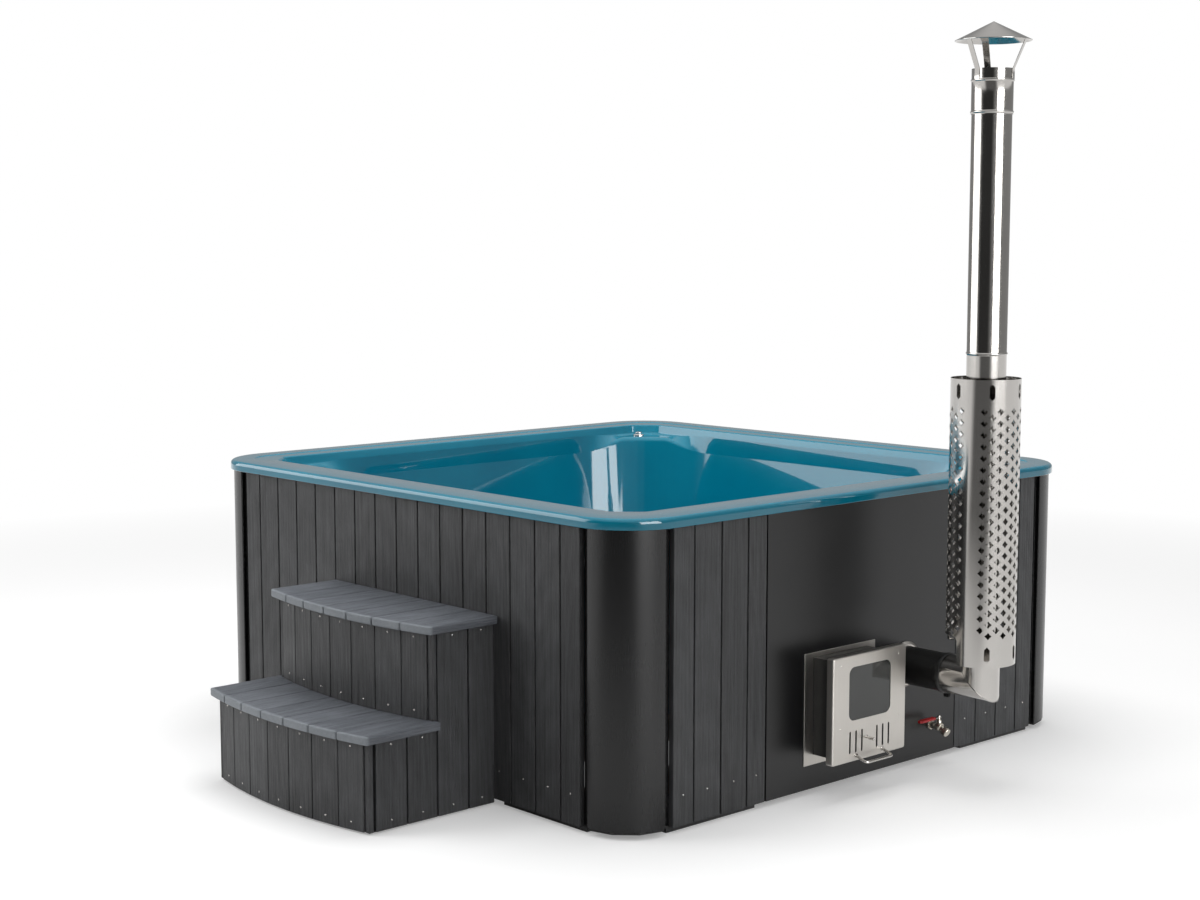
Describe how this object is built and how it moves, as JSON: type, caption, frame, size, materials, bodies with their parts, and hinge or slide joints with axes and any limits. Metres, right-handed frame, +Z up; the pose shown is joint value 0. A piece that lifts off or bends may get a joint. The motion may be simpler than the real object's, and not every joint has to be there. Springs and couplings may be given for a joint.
{
  "type": "fibreglass hot tub",
  "caption": "Square fibreglass hot tub clad in dark upright boards, with a built-in wood stove, guarded flue, drain valve and bowed side steps.",
  "frame": {"origin": "on the floor at the centre of the square tub, under its middle packer", "axes": "+Z up, -Y towards the steps, +X towards the stove and its flue"},
  "size_m": [2.729, 2.86, 2.5184],
  "materials": {
    "gelcoat": "glossy teal gelcoat with a fine pearl",
    "dark_boards": "near-black stained timber with a fine grain",
    "frame_timber": "plain sawn softwood",
    "tread_boards": "grey grained decking boards",
    "corner_metal": "smooth satin black",
    "panel_metal": "smooth dark charcoal",
    "black_steel": "heat-proof satin black",
    "stainless": "polished to lightly brushed stainless steel",
    "door_glass": "dark heat-proof glass",
    "rope": "plaited glass-fibre rope",
    "nickel_brass": "nickel-plated brass",
    "red_grip": "dipped red plastic",
    "black_plastic": "matt black plastic",
    "button_metal": "bright chromed metal"
  },
  "bodies": {
    "tub": {"shell": "gelcoat", "base_bearers": "frame_timber", "floor_joists": "frame_timber", "floor_packers": "black_plastic", "corner_blocks": "frame_timber", "corner_posts": "frame_timber", "wall_posts": "frame_timber", "top_rails": "frame_timber", "front_boards": "dark_boards", "left_boards": "dark_boards", "back_boards": "dark_boards", "right_boards": "dark_boards", "corner_covers": "corner_metal", "stove_panel": "panel_metal", "wall_flange": "stainless", "stove_neck": "black_steel", "firebox": "black_steel", "baffle_plate": "black_steel", "fire_grate": "black_steel", "water_jacket": "black_steel", "circulation_pipes": "stainless", "hinge_ears": "black_steel", "hinge_pins": "stainless", "wall_collar": "black_steel", "flue_pipe": "black_steel", "flue_clamp": "stainless", "flue_elbow": "stainless", "lower_chimney_pipe": "stainless", "upper_chimney_pipe": "stainless", "heat_guard": "stainless", "guard_brackets": "stainless", "cap_sleeve": "stainless", "cap_straps": "stainless", "rain_cone": "stainless", "drain_grille": "stainless", "drain_pipe": "black_plastic", "valve_body": "nickel_brass", "button_bezel": "button_metal", "step_frame": "frame_timber", "lower_riser_boards": "dark_boards", "upper_riser_boards": "dark_boards", "step_side_boards": "dark_boards", "step_corner_trims": "dark_boards", "lower_tread": "tread_boards", "upper_tread": "tread_boards"},
    "fire_door": {"door_pan": "stainless", "door_knuckles": "stainless", "door_glass": "door_glass", "glass_retainer": "black_steel", "rope_seal": "rope", "damper_guides": "black_steel", "door_handle": "stainless"},
    "air_damper": {"damper_plate": "black_steel", "damper_peg": "stainless"},
    "drain_lever": {"valve_plug": "nickel_brass", "valve_lever": "stainless", "lever_grip": "red_grip", "lever_nut": "stainless"},
    "outlet_cap": {"drain_cap": "nickel_brass"},
    "push_button": {"air_button": "button_metal"}
  },
  "joints": [
    {"name": "fire_door_hinge", "type": "hinge", "parent": "tub", "child": "fire_door", "pos_m": [1.244, -0.152, 0.4725], "axis": [0, -1, 0], "range_deg": [0, 110]},
    {"name": "air_damper_slide", "type": "slide", "parent": "fire_door", "child": "air_damper", "axis": [0, 1, 0], "range_m": [0, 0.015]},
    {"name": "drain_lever_turn", "type": "hinge", "parent": "tub", "child": "drain_lever", "pos_m": [1.175, 0.335, 0.16], "axis": [0, 0, 1], "range_deg": [0, 90]},
    {"name": "drain_cap_turn", "type": "hinge", "parent": "tub", "child": "outlet_cap", "pos_m": [1.175, 0.335, 0.128], "axis": [0.9063, 0, -0.4226], "continuous": true},
    {"name": "air_button_press", "type": "slide", "parent": "tub", "child": "push_button", "axis": [0, 0, -1], "range_m": [0, 0.004], "stiffness_N_per_m": 800}
  ]
}
